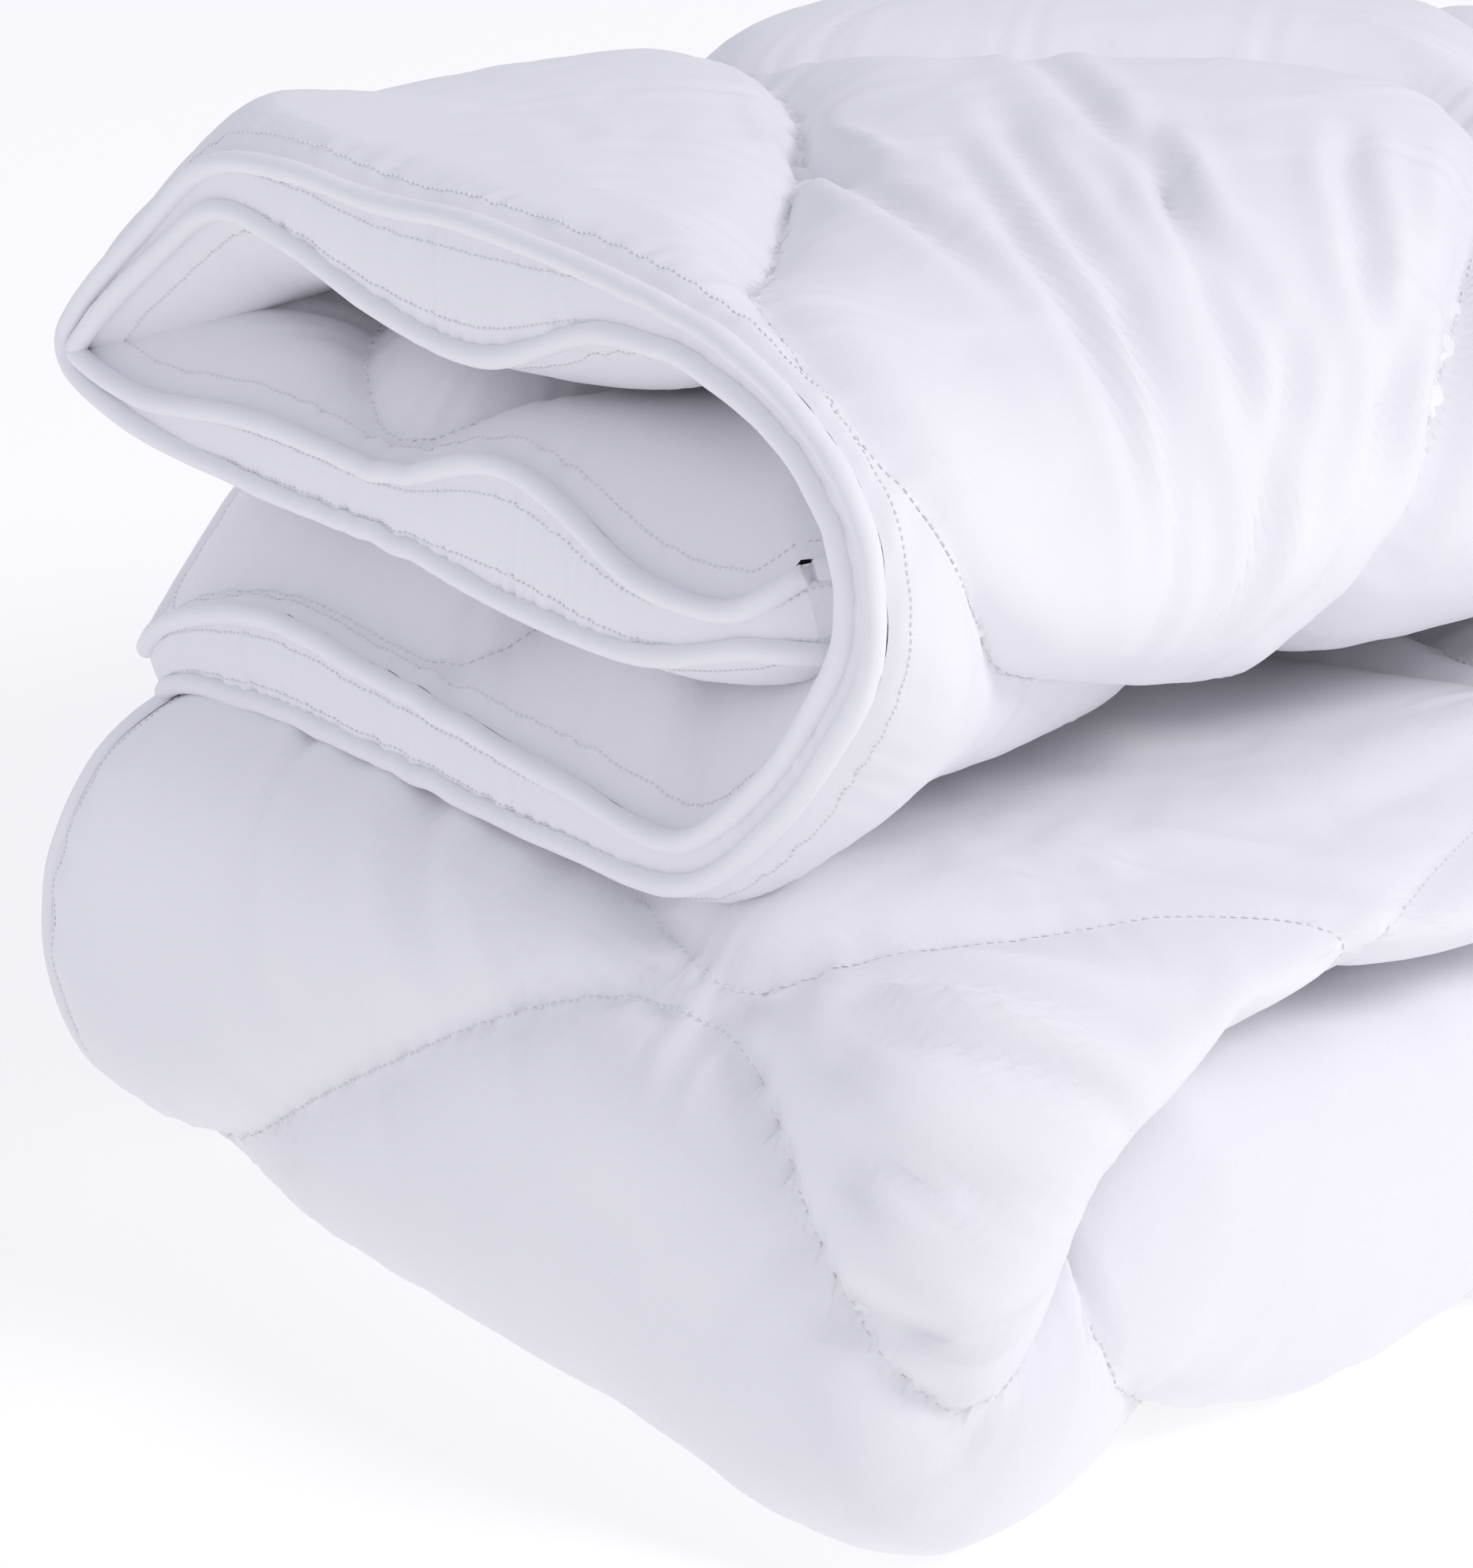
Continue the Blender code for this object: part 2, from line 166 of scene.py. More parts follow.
# ---------------------------------------------------------------- how the cloth puffs
GATHER_DEPTH, EDGE_GATHER = 0.0017, 0.8
GATHER_LENGTH, GATHER_SWING = 0.018, 0.013
HEM = 0.004  # the flat rim beside the piping, without gathers
HEM_GATHER_LENGTH = 0.010
SEAM_PINCH, POCKET_PINCH = 0.38, 0.85
SEAM_REACH, CROWN_REACH, EDGE_REACH = 0.016, 0.03, 0.02
SHELL_CROWN, BACK_CROWN, POCKET_CROWN = 0.005, 0.004, 0.012
POCKET_DEPTH, POCKET_FADE = 0.15, 0.06  # the back panel puffs up inside the head end's folds
POCKET_U = (0.36, 1.08)

# ---------------------------------------------------------------- the cloth simulation
SIM_FRAMES, SIM_PRESSURE, SIM_CAP, CALMING = 12, 2.0, 0.008, 6
FREE_HOLD, HIDDEN_HOLD = 0.12, 0.40
SEAM_HOLD_REACH, SEAM_HALF, EDGE_HALF = 0.0035, 0.0022, 0.002
PIN_LEVELS = 20
JITTER = 0.00015
FLOOR_GAP = 0.0004

# ---------------------------------------------------------------- stitches
QUILT_PITCH, EDGE_PITCH, STITCH_THICKNESS = 0.0034, 0.0025, 0.0007
STITCH_SPAN = (0.14, 0.86)  # where each stitch begins and ends within its pitch
STITCH_INSET, QUILT_MARGIN = 0.0062, 0.006


def smooth(t):
    t = np.clip(t, 0.0, 1.0)
    return t * t * (3 - 2 * t)


def mix(a, b, t):
    return a + (b - a) * t


def station_places():
    """u of each station of the sections, from the mean length of the upper and lower outlines."""
    spans = [np.hypot(*np.diff(s[:, :2], axis=0).T) for s in (UPPER_SECTION, LOWER_SECTION)]
    along = np.concatenate([[0], np.cumsum(sum(spans))])
    return along * WIDTH / along[-1]


STATIONS = station_places()


def hermite(values, t):
    """A smooth curve through the rows of values at STATIONS, read at t."""
    slopes = np.gradient(values, STATIONS, axis=0)
    i = np.clip(np.searchsorted(STATIONS, t, side="right") - 1, 0, len(STATIONS) - 2)
    step = STATIONS[i + 1] - STATIONS[i]
    f = ((t - STATIONS[i]) / step)[..., None]
    span = step[..., None]
    return (
        (2 * f**3 - 3 * f**2 + 1) * values[i]
        + (f**3 - 2 * f**2 + f) * span * slopes[i]
        + (3 * f**2 - 2 * f**3) * values[i + 1]
        + (f**3 - f**2) * span * slopes[i + 1]
    )


def section(u, v):
    """x, height and thickness of the strip's mid-surface at u, for the strip as it is at v."""
    v = np.broadcast_to(v, np.shape(u))
    place, puff = smooth(v / HEAD_FADE), np.sin(math.pi / 2 * np.clip(v / HEAD_PUFF, 0, 1))
    upper = mix(hermite(HEAD_SECTION, u), hermite(UPPER_SECTION, u),
                np.stack([place, place, puff], axis=-1))
    lower = smooth((v - MORPH_START) / (RUN_ENDS[2] - MORPH_START))[..., None]
    return mix(upper, hermite(LOWER_SECTION, u), lower)


def along_strip(v, h):
    """y and z of a point at height h in the strip: the zigzag along the length."""
    y, z = np.empty_like(h), np.empty_like(h)
    head = v < RUN_ENDS[1]
    y[head] = SETBACK + v[head]
    z[head] = UPPER_FLOOR + h[head]
    turn = (v >= RUN_ENDS[1]) & (v < RUN_ENDS[2])
    angle = math.pi * (v[turn] - RUN_ENDS[1]) / BACK_TURN
    reach = PIVOT_GAP + h[turn]
    y[turn] = BACK_PIVOT + reach * np.sin(angle)
    z[turn] = UPPER_PIVOT + reach * np.cos(angle)
    middle = (v >= RUN_ENDS[2]) & (v < RUN_ENDS[3])
    y[middle] = BACK_PIVOT - (v[middle] - RUN_ENDS[2])
    z[middle] = UPPER_PIVOT - PIVOT_GAP - h[middle]
    turn = (v >= RUN_ENDS[3]) & (v < RUN_ENDS[4])
    angle = math.pi * (v[turn] - RUN_ENDS[3]) / FRONT_TURN
    reach = PIVOT_GAP + LOWER_BUNDLE - h[turn]
    square = mix(2.0, FRONT_SQUARENESS, smooth(reach / FRONT_PIVOT))
    reach /= (np.sin(angle) ** square + np.abs(np.cos(angle)) ** square) ** (1 / square)
    y[turn] = FRONT_PIVOT - reach * np.sin(angle)
    z[turn] = LOWER_PIVOT + reach * np.cos(angle)
    foot = v >= RUN_ENDS[4]
    y[foot] = FRONT_PIVOT + (v[foot] - RUN_ENDS[4])
    z[foot] = LOWER_PIVOT - (PIVOT_GAP + LOWER_BUNDLE - h[foot])
    return y, z


def fold(u, v, w):
    """World places of points u across, v along and w outside the mid-surface."""
    here, step = section(u, v), 0.002
    ahead, behind = section(u + step, v), section(u - step, v)
    way = ahead[..., :2] - behind[..., :2]
    way /= np.linalg.norm(way, axis=-1, keepdims=True)
    x = here[..., 0] - w * way[..., 1]
    h = here[..., 1] + w * way[..., 0]
    y, z = along_strip(v, h)
    level = np.clip(z / LOWER_TOP, 0, 1)
    rise = np.interp(y, CREASE_Y, CREASE_RISE) * smooth((x - RISE_START) / RISE_FADE)
    lower = smooth((v - MORPH_END + LEFT_ONSET) / LEFT_ONSET)
    x = x + np.interp(z, LEFT_LEVELS, LEFT_DRAW) * smooth((LEFT_START - x) / LEFT_FADE) * lower
    z = np.clip(z + rise * np.sin(math.pi * level), FLOOR_GAP, TOP)
    return np.stack([RIGHT + x, FRONT + y, z], axis=-1)


def rounded(u, v):
    """Draws the corners of the flat rectangle in to CORNER_RADIUS."""
    du, dv = np.minimum(u, WIDTH - u), np.minimum(v, LENGTH - v)
    near = (du < CORNER_RADIUS) & (dv < CORNER_RADIUS)
    across = np.where(near, 1 - du / CORNER_RADIUS, 0)
    along = np.where(near, 1 - dv / CORNER_RADIUS, 0)
    in_u = CORNER_RADIUS * across * (1 - np.sqrt(1 - along**2 / 2))
    in_v = CORNER_RADIUS * along * (1 - np.sqrt(1 - across**2 / 2))
    return u + np.where(u < WIDTH / 2, in_u, -in_u), v + np.where(v < LENGTH / 2, in_v, -in_v)


# The pattern's own length along the outside of each turn.
BACK_PATTERN, FRONT_PATTERN = 0.474, 0.328
PATTERN_ENDS = np.cumsum([0.0, HEAD_RUN, BACK_PATTERN, MIDDLE_RUN, FRONT_PATTERN, FOOT_RUN])


def pattern_v(v):
    return np.interp(v, RUN_ENDS, PATTERN_ENDS)


def wave_line(k, u):
    """The k-th quilting line at u. Neighbours are in antiphase and nearly touch."""
    turns = LINE_TURNS.get(k, WAVE_TURNS)
    phase = np.interp(u, turns, math.pi * (np.arange(len(turns)) - 2))
    sign = 1 if k % 2 == 0 else -1
    reach = LINE_REACH.get(k, WAVE_REACH)
    return FIRST_LINE + WAVE_PITCH * k + sign * reach * np.cos(phase)


LINES = int((PATTERN_ENDS[-1] - FIRST_LINE) / WAVE_PITCH) + 1


def nearest_seam(u, v):
    """The distance to the nearest quilting line, and how far along that line it is."""
    p = pattern_v(v)
    best = np.full(np.broadcast(u, v).shape, 1.0)
    place = np.zeros(best.shape)
    across = np.linspace(0, WIDTH, 500)
    for k in range(LINES):
        line = wave_line(k, u)
        slope = (wave_line(k, u + 0.001) - line) / 0.001
        away = np.abs(p - line) / np.sqrt(1 + slope**2)
        foot = u + (p - line) * slope / (1 + slope**2)
        steps = np.hypot(np.diff(across), np.diff(wave_line(k, across)))
        along = np.interp(foot, across, np.concatenate([[0], np.cumsum(steps)])) + 0.37 * k
        nearer = away < best
        best, place = np.where(nearer, away, best), np.where(nearer, along, place)
    return best, place


def ripples(place, seed):
    """Uneven waves along a seam, within about +-1."""
    draw = np.random.default_rng(seed)
    total = np.zeros(place.shape)
    for wave, share in ((0.011, 0.6), (0.014, 1.0), (0.020, 1.0), (0.031, 0.9)):
        phase, drift = draw.uniform(0, 2 * math.pi, 2)
        bend = 0.35 * wave * np.sin(2 * math.pi * place / draw.uniform(0.05, 0.11) + drift)
        swell = 0.6 + 0.4 * np.sin(2 * math.pi * place / draw.uniform(0.06, 0.15) + drift)
        total += share * swell * np.sin(2 * math.pi * (place + bend) / wave + phase)
    return total / 2.2


def hem_gathers(along, inset, seed):
    """Puckers beside one pair of edges: along runs with the edge, inset away from it."""
    fade = np.exp(-np.maximum(inset - HEM, 0) / HEM_GATHER_LENGTH)
    return ripples(along, seed) * (inset > HEM) * fade


def gathers(u, v, seam, place):
    """Small puckers that run away from the quilting lines and from the sewn edges."""
    lengths = GATHER_LENGTH + GATHER_SWING * np.sin(2 * math.pi * place / 0.083 + 1.0)
    by_seam = ripples(place, 5) * (1 - np.exp(-seam / 0.002)) * np.exp(-seam / lengths)
    edge_v, edge_u = np.minimum(v, LENGTH - v), np.minimum(u, WIDTH - u)
    by_edge = hem_gathers(u, edge_v, 6) + hem_gathers(v, edge_u, 7)
    return GATHER_DEPTH * by_seam + EDGE_GATHER * GATHER_DEPTH * by_edge


def creases(u, v):
    """How far the face is pulled in along its creases and stands up beside them."""
    p, total = pattern_v(v), np.zeros(np.broadcast(u, v).shape)
    t = np.linspace(0, 1, 13)
    for u0, p0, u1, p1, sag, depth, width in CREASES:
        line_u, line_p = mix(u0, u1, t), mix(p0, p1, t) + 4 * sag * t * (1 - t)
        away = np.full(total.shape, 1.0)
        share = np.zeros(total.shape)
        for i in range(len(t) - 1):
            du, dp = line_u[i + 1] - line_u[i], line_p[i + 1] - line_p[i]
            along = ((u - line_u[i]) * du + (p - line_p[i]) * dp) / (du**2 + dp**2)
            along = np.clip(along, 0, 1)
            here = np.hypot(u - line_u[i] - along * du, p - line_p[i] - along * dp)
            nearer = here < away
            away = np.where(nearer, here, away)
            share = np.where(nearer, (i + along) / (len(t) - 1), share)
        fade = np.sin(math.pi * np.clip(share, 0.02, 0.98)) ** 0.7
        valley = np.exp(-((away / width) ** 2))
        bank = np.exp(-(((away - 2.1 * width) / (1.1 * width)) ** 2))
        total += depth * fade * (0.45 * bank - valley)
    return CREASE_DEPTH * total


def edge_distance(u, v):
    return np.minimum(np.minimum(u, WIDTH - u), np.minimum(v, LENGTH - v))


def half_thickness(u, v, crown, pocket=True):
    """How far the cloth stands off the mid-surface: pinched at seams, crowned between."""
    half = section(u, v)[..., 2] / 2
    (seam, place), away = nearest_seam(u, v), np.maximum(edge_distance(u, v), 0)
    start, end = POCKET_U
    wrapped = smooth((u - start) / POCKET_FADE) * smooth((end - u) / POCKET_FADE)
    inner = smooth((POCKET_DEPTH - v) / POCKET_FADE) * (1 - wrapped)
    pinch = mix(SEAM_PINCH, POCKET_PINCH, inner)
    puff = pinch + (1 - pinch) * (1 - np.exp(-seam / SEAM_REACH))
    puff = mix(1.0, puff, smooth(away / 0.012))
    crown = crown + inner * POCKET_CROWN * pocket
    swell = (1 - np.exp(-seam / CROWN_REACH)) * (1 - np.exp(-away / EDGE_REACH))
    return half * puff + crown * swell + gathers(u, v, seam, place)


def graded(*stretches):
    """Places along a line: (end, step) pairs, each stretch cut evenly at about its step."""
    places, at = [], 0.0
    for end, step in stretches:
        n = max(1, round((end - at) / step))
        places.append(np.linspace(at, end, n, endpoint=False))
        at = end
    return np.concatenate([*places, [at]])


def grid_faces(rows, columns, flip=False):
    index = np.arange(rows * columns).reshape(rows, columns)
    quad = np.stack([index[:-1, :-1], index[:-1, 1:], index[1:, 1:], index[1:, :-1]], -1)
    quad = quad.reshape(-1, 4)
    return quad[:, ::-1] if flip else quad


def make_mesh(name, points, faces):
    mesh = bpy.data.meshes.new(name)
    mesh.vertices.add(len(points))
    mesh.vertices.foreach_set("co", np.ascontiguousarray(points, np.float32).ravel())
    mesh.loops.add(faces.size)
    mesh.loops.foreach_set("vertex_index", faces.astype(np.int32).ravel())
    mesh.polygons.add(len(faces))
    mesh.polygons.foreach_set(
        "loop_start", np.arange(0, faces.size, faces.shape[1], dtype=np.int32))
    mesh.update(calc_edges=True)
    mesh.validate()
    mesh.shade_smooth()
    made = bpy.data.objects.new(name, mesh)
    bpy.context.scene.collection.objects.link(made)
    return made


# ---------------------------------------------------------------- the two panels
FACE_U = graded((0.36, 0.011), (0.42, 0.005), (1.02, 0.0032), (1.06, 0.005), (WIDTH, 0.0050))
FACE_V = graded((0.012, 0.0020), (0.46, 0.0032), (0.552, 0.0050), (0.766, 0.0055),
                (0.88, 0.0075), (1.20, 0.0042), (1.42, 0.0032), (1.56, 0.0055), (1.96, 0.0090),
                (LENGTH, 0.0050))
BACK_U = graded((0.02, 0.003), (WIDTH - 0.05, 0.0042), (WIDTH, 0.003))
BACK_V = graded((0.17, 0.0026), (0.30, 0.006), (1.95, 0.011), (LENGTH, 0.004))


def panel_grid(us, vs, side):
    """The panel's places on the grid us x vs, with the u and v of each."""
    u, v = rounded(*np.meshgrid(us, vs))
    if side > 0:
        half = half_thickness(u, v, SHELL_CROWN, pocket=False) + creases(u, v)
    else:
        half = half_thickness(u, v, BACK_CROWN)
    return fold(u, v, side * half), u, v


def soft_noise(u, v, scale, seed):
    """Smooth random waves over the flat duvet, about scale metres across, within +-1."""
    draw = np.random.default_rng(seed)
    total = np.zeros_like(u)
    for _ in range(9):
        angle, phase = draw.uniform(0, 2 * math.pi, 2)
        wave = scale * draw.uniform(0.7, 1.5)
        along = u * math.cos(angle) + v * math.sin(angle)
        total += np.sin(2 * math.pi * along / wave + phase)
    return total / 5


def gather_cloth(piece, pins, frames, pressure):
    """Lets a panel that is cut larger than the space between its seams buckle and puff."""
    group = piece.vertex_groups.new(name="sewn")
    levels = np.round(np.clip(pins, 0, 1) * PIN_LEVELS) / PIN_LEVELS
    for level in np.unique(levels):
        if level > 0:
            held = np.nonzero(levels == level)[0].tolist()
            group.add(held, float(level), "REPLACE")
    cloth = piece.modifiers.new("Cloth", "CLOTH")
    rules = cloth.settings
    rules.quality = 4
    rules.mass = 0.12
    rules.tension_stiffness = rules.compression_stiffness = 25
    rules.shear_stiffness = 8
    rules.bending_stiffness = 0.4
    rules.air_damping = 2.0
    rules.vertex_group_mass = "sewn"
    rules.pin_stiffness = 4.0
    rules.shrink_min = -0.02
    rules.use_pressure = True
    rules.uniform_pressure_force = pressure
    rules.effector_weights.gravity = 0
    cloth.collision_settings.use_collision = False
    cloth.point_cache.frame_start, cloth.point_cache.frame_end = 1, frames
    scene = bpy.context.scene
    scene.frame_start, scene.frame_end = 1, frames
    for step in range(1, frames + 1):
        scene.frame_set(step)
    settled = piece.evaluated_get(bpy.context.evaluated_depsgraph_get())
    moved = np.empty(len(piece.data.vertices) * 3, np.float32)
    settled.data.vertices.foreach_get("co", moved)
    piece.modifiers.remove(cloth)
    piece.vertex_groups.clear()
    scene.frame_set(1)
    return moved.reshape(-1, 3).astype(float)


def calmed(shift, passes):
    """The shift of a grid of places with its finest crumples smoothed away."""
    for _ in range(passes):
        padded = np.pad(shift, ((1, 1), (1, 1), (0, 0)), mode="edge")
        beside = padded[:-2, 1:-1] + padded[2:, 1:-1] + padded[1:-1, :-2] + padded[1:-1, 2:]
        shift = shift / 2 + beside / 8
    return shift


def surface_normals(places):
    """Unit normals of a grid of places."""
    normal = np.cross(np.gradient(places, axis=1), np.gradient(places, axis=0))
    return normal / (np.linalg.norm(normal, axis=-1, keepdims=True) + 1e-9)


def pin_weights(u, v):
    """1 on seams and edges, low where the cloth shows and higher where it is hidden."""
    (seam, _), edge = nearest_seam(u, v), edge_distance(u, v)
    turned = (v > RUN_ENDS[2] + 0.35) & (v < RUN_ENDS[4] + 0.1)
    free = smooth((u - 0.36) / 0.06) * (1 - smooth((u - 1.0) / 0.05) * ~turned)
    hold = mix(HIDDEN_HOLD, FREE_HOLD, np.clip(free, 0, 1))
    pins = np.maximum(hold, np.exp(-(seam / SEAM_HOLD_REACH) ** 2))
    pins[edge < EDGE_HALF] = 1.0
    pins[seam < SEAM_HALF] = 1.0
    return pins


def set_places(piece, places):
    piece.data.vertices.foreach_set("co", places.astype(np.float32).ravel())
    piece.data.update()


def puffed(piece, places, u, v):
    """The places of a panel after the simulation, calmed and kept near where they were."""
    pins = pin_weights(u, v)
    jitter = soft_noise(u, v, 0.012, 3) + soft_noise(u, v, 0.03, 4)
    set_places(piece, places + surface_normals(places) * (jitter * JITTER * (1 - pins))[..., None])
    moved = gather_cloth(piece, pins.ravel(), SIM_FRAMES, SIM_PRESSURE)
    shift = calmed(moved.reshape(places.shape) - places, CALMING) * (1 - pins)[..., None]
    size = np.linalg.norm(shift, axis=-1, keepdims=True)
    moved = places + shift * np.minimum(1, SIM_CAP / np.maximum(size, 1e-9))
    moved[..., 2] = np.clip(moved[..., 2], FLOOR_GAP, TOP)
    set_places(piece, moved)
    return moved


def cloth_panel(name, us, vs, side, simulate):
    places, u, v = panel_grid(us, vs, side)
    piece = make_mesh(name, places.reshape(-1, 3), grid_faces(*u.shape, flip=side < 0))
    if simulate:
        places = puffed(piece, places, u, v)
    return piece, places


# ---------------------------------------------------------------- the edge: piping, gusset
def edge_path(step):
    """(u, v) round the four edges, evenly, with the corners rounded."""
    out, back = np.arange(0, WIDTH, step), np.arange(WIDTH, 0, -step)
    count = int(LENGTH / step)
    up = np.linspace(0, LENGTH, count, endpoint=False)
    down = np.linspace(LENGTH, 0, count, endpoint=False)
    u = np.concatenate([out, np.full(count, WIDTH), back, np.zeros(count)])
    v = np.concatenate([np.zeros(len(out)), up, np.full(len(back), LENGTH), down])
    return rounded(u, v)


def inward(u, v, distance):
    """The same places moved in from the edge."""
    cu, cv = WIDTH / 2 - u, LENGTH / 2 - v
    near_u = np.minimum(u, WIDTH - u)
    near_v = np.minimum(v, LENGTH - v)
    weight_u = np.exp(-np.maximum(near_u, 0) / 0.006)
    weight_v = np.exp(-np.maximum(near_v, 0) / 0.006)
    size = np.hypot(weight_u, weight_v) + 1e-9
    return (u + np.sign(cu) * distance * weight_u / size,
            v + np.sign(cv) * distance * weight_v / size)


def frame_at(u, v, side):
    """Place, outward way and surface normal on the panel's edge."""
    half = half_thickness(u, v, 0.0)
    here = fold(u, v, side * half)
    iu, iv = inward(u, v, 0.004)
    within = fold(iu, iv, side * half)
    across = fold(u, v, side * (half + 0.002)) - fold(u, v, side * (half - 0.004))
    out = here - within
    out /= np.linalg.norm(out, axis=-1, keepdims=True)
    across /= np.linalg.norm(across, axis=-1, keepdims=True)
    return here, out, across


def tube_mesh(name, centres, radius, sides, closed=True):
    """A tube along centres. radius is one value or one for each centre."""
    ahead = np.roll(centres, -1, axis=0) - np.roll(centres, 1, axis=0)
    if not closed:
        ahead[0], ahead[-1] = centres[1] - centres[0], centres[-1] - centres[-2]
    ahead /= np.linalg.norm(ahead, axis=1, keepdims=True)
    up = np.empty_like(ahead)
    last = np.array([0.0, 0.0, 1.0]) if abs(ahead[0, 2]) < 0.9 else np.array([1.0, 0.0, 0.0])
    for i, way in enumerate(ahead):
        last = last - way * last.dot(way)
        last /= np.linalg.norm(last)
        up[i] = last
    beside = np.cross(ahead, up)
    angle = np.linspace(0, 2 * math.pi, sides, endpoint=False)
    wide = np.broadcast_to(radius, len(centres))[:, None, None]
    ring = (np.cos(angle)[None, :, None] * up[:, None]
            + np.sin(angle)[None, :, None] * beside[:, None])
    points = centres[:, None] + ring * wide
    count = len(centres)
    index = np.arange(count * sides).reshape(count, sides)
    after = np.roll(index, -1, axis=0)
    if not closed:
        index, after = index[:-1], index[1:]
    quad = np.stack([index, after, np.roll(after, -1, axis=1), np.roll(index, -1, axis=1)], -1)
    return make_mesh(name, points.reshape(-1, 3), quad.reshape(-1, 4))


def piping(name, side):
    u, v = edge_path(PIPING_STEP)
    here, out, across = frame_at(u, v, side)
    centres = here + out * PIPING_RADIUS * 0.85 - across * PIPING_RADIUS * 0.55
    for _ in range(3):
        centres = (np.roll(centres, 1, axis=0) + centres * 2 + np.roll(centres, -1, axis=0)) / 4
    centres[:, 2] = np.maximum(centres[:, 2], PIPING_RADIUS + 0.0003)
    along = np.arange(len(centres)) * PIPING_STEP
    uneven = 1 + 0.035 * (ripples(along, 8 + side) + np.sin(2 * math.pi * along / 0.061))
    cover = tube_mesh(f"{name}_cover", centres, PIPING_RADIUS * uneven, 14)
    return cover, tube_mesh(f"{name}_cord", centres, CORD_RADIUS, 8)


def gusset_puckers(places, t, seed):
    """Uneven pleats across a gusset, deepest beside the two pipings."""
    draw = np.random.default_rng(seed)
    pucker = np.zeros((len(t), len(places)))
    for wave, share in ((0.006, 0.3), (0.0085, 0.8), (0.012, 1.0), (0.017, 0.9), (0.03, 0.6)):
        phase, lean = draw.uniform(0, 2 * math.pi), draw.uniform(-0.006, 0.006)
        bend = 0.004 * np.sin(2 * math.pi * places / draw.uniform(0.04, 0.09) + phase)
        swell = 0.55 + 0.45 * np.sin(2 * math.pi * places / draw.uniform(0.05, 0.16) + phase)
        pucker += share * swell * np.sin(
            2 * math.pi * (places[None] + lean * t[:, None] + bend[None]) / wave + phase)
    return pucker * (0.25 + 0.75 * np.abs(2 * t - 1) ** 1.5)[:, None]


def gusset(name, along_u, far):
    """The puckered strip between the two pipings along one edge, and its rows of stitches."""
    places = np.arange(0.0, (WIDTH if along_u else LENGTH) + 1e-6, GUSSET_STEP)
    across_edge = np.full_like(places, (LENGTH if along_u else WIDTH) if far else 0.0)
    u, v = rounded(*((places, across_edge) if along_u else (across_edge, places)))
    low, out, _ = frame_at(u, v, -1)
    high, out_high, _ = frame_at(u, v, 1)
    t = np.linspace(0.0, 1.0, GUSSET_LEVELS)
    body = np.sin(math.pi * t) ** 0.6
    wide = np.clip(np.linalg.norm(high - low, axis=1) / 0.025, 0.35, 1.3)
    pucker = gusset_puckers(places, t, len(name) * 31 + int(far))
    depth = (GUSSET_BULGE + GUSSET_PUCKER * pucker) * body[:, None] * wide + GUSSET_RISE
    mid_out = mix(out[None], out_high[None], t[:, None, None])
    points = mix(low[None], high[None], t[:, None, None]) + mid_out * depth[..., None]
    points[..., 2] = np.maximum(points[..., 2], 0.0006)
    faces = grid_faces(GUSSET_LEVELS, len(places), along_u == far)
    made = make_mesh(name, points.reshape(-1, 3), faces)
    rows = (3, GUSSET_LEVELS - 4)
    return made, [stitch_run(points[row], mid_out[row], EDGE_PITCH) for row in rows]


# ---------------------------------------------------------------- stitches
def sampler(us, vs, places):
    """Reads places and normals of a finished panel at any u, v."""
    normal = surface_normals(places)

    def read(u, v):
        i = np.clip(np.searchsorted(us, u) - 1, 0, len(us) - 2)
        j = np.clip(np.searchsorted(vs, v) - 1, 0, len(vs) - 2)
        a = np.clip((u - us[i]) / (us[i + 1] - us[i]), 0, 1)[:, None]
        b = np.clip((v - vs[j]) / (vs[j + 1] - vs[j]), 0, 1)[:, None]
        return [
            mix(mix(f[j, i], f[j, i + 1], a), mix(f[j + 1, i], f[j + 1, i + 1], a), b)
            for f in (places, normal)
        ]

    return read


def stitch_mesh(name, starts, ends, normals, thick):
    """Every stitch as one small spindle that dips into the cloth at both ends."""
    way = ends - starts
    size = np.linalg.norm(way, axis=1, keepdims=True)
    way = way / np.maximum(size, 1e-9)
    beside = np.cross(normals, way)
    rings = []
    for share, lift, wide in ((0.0, -0.5, 0.35), (0.22, 0.35, 1.0), (0.78, 0.35, 1.0),
                              (1.0, -0.5, 0.35)):
        centre = starts + way * size * share + normals * lift * thick
        for angle in (0, 1.5708, 3.1416, 4.7124):
            rings.append(centre + (normals * math.cos(angle) + beside * math.sin(angle))
                         * thick * wide * 0.5)
    points = np.stack(rings, axis=1)
    faces = []
    for ring in range(3):
        for side in range(4):
            a, b = ring * 4 + side, ring * 4 + (side + 1) % 4
            faces.append((a, b, b + 4, a + 4))
    faces += [(3, 2, 1, 0), (12, 13, 14, 15)]
    index = np.arange(len(starts))[:, None, None] * 16 + np.array(faces)[None]
    return make_mesh(name, points.reshape(-1, 3), index.reshape(-1, 4))


def stitch_along(u, v, read, pitch):
    """Starts, ends and normals of the stitches along the flat line u, v."""
    return stitch_run(*read(u, v), pitch)


def stitch_run(spots, normals, pitch):
    """Starts, ends and normals of the stitches along a line of places."""
    along = np.concatenate([[0], np.cumsum(np.linalg.norm(np.diff(spots, axis=0), axis=1))])
    count = int(along[-1] / pitch)
    begin, end = ((np.arange(count) + share) * pitch for share in STITCH_SPAN)

    def at(values, s):
        return np.stack([np.interp(s, along, values[:, k]) for k in range(3)], axis=1)

    return at(spots, begin), at(spots, end), at(normals, begin)


def join_stitches(name, parts, side):
    starts, ends, normals = (np.concatenate(p) for p in zip(*parts))
    return stitch_mesh(name, starts, ends, normals * side, STITCH_THICKNESS)


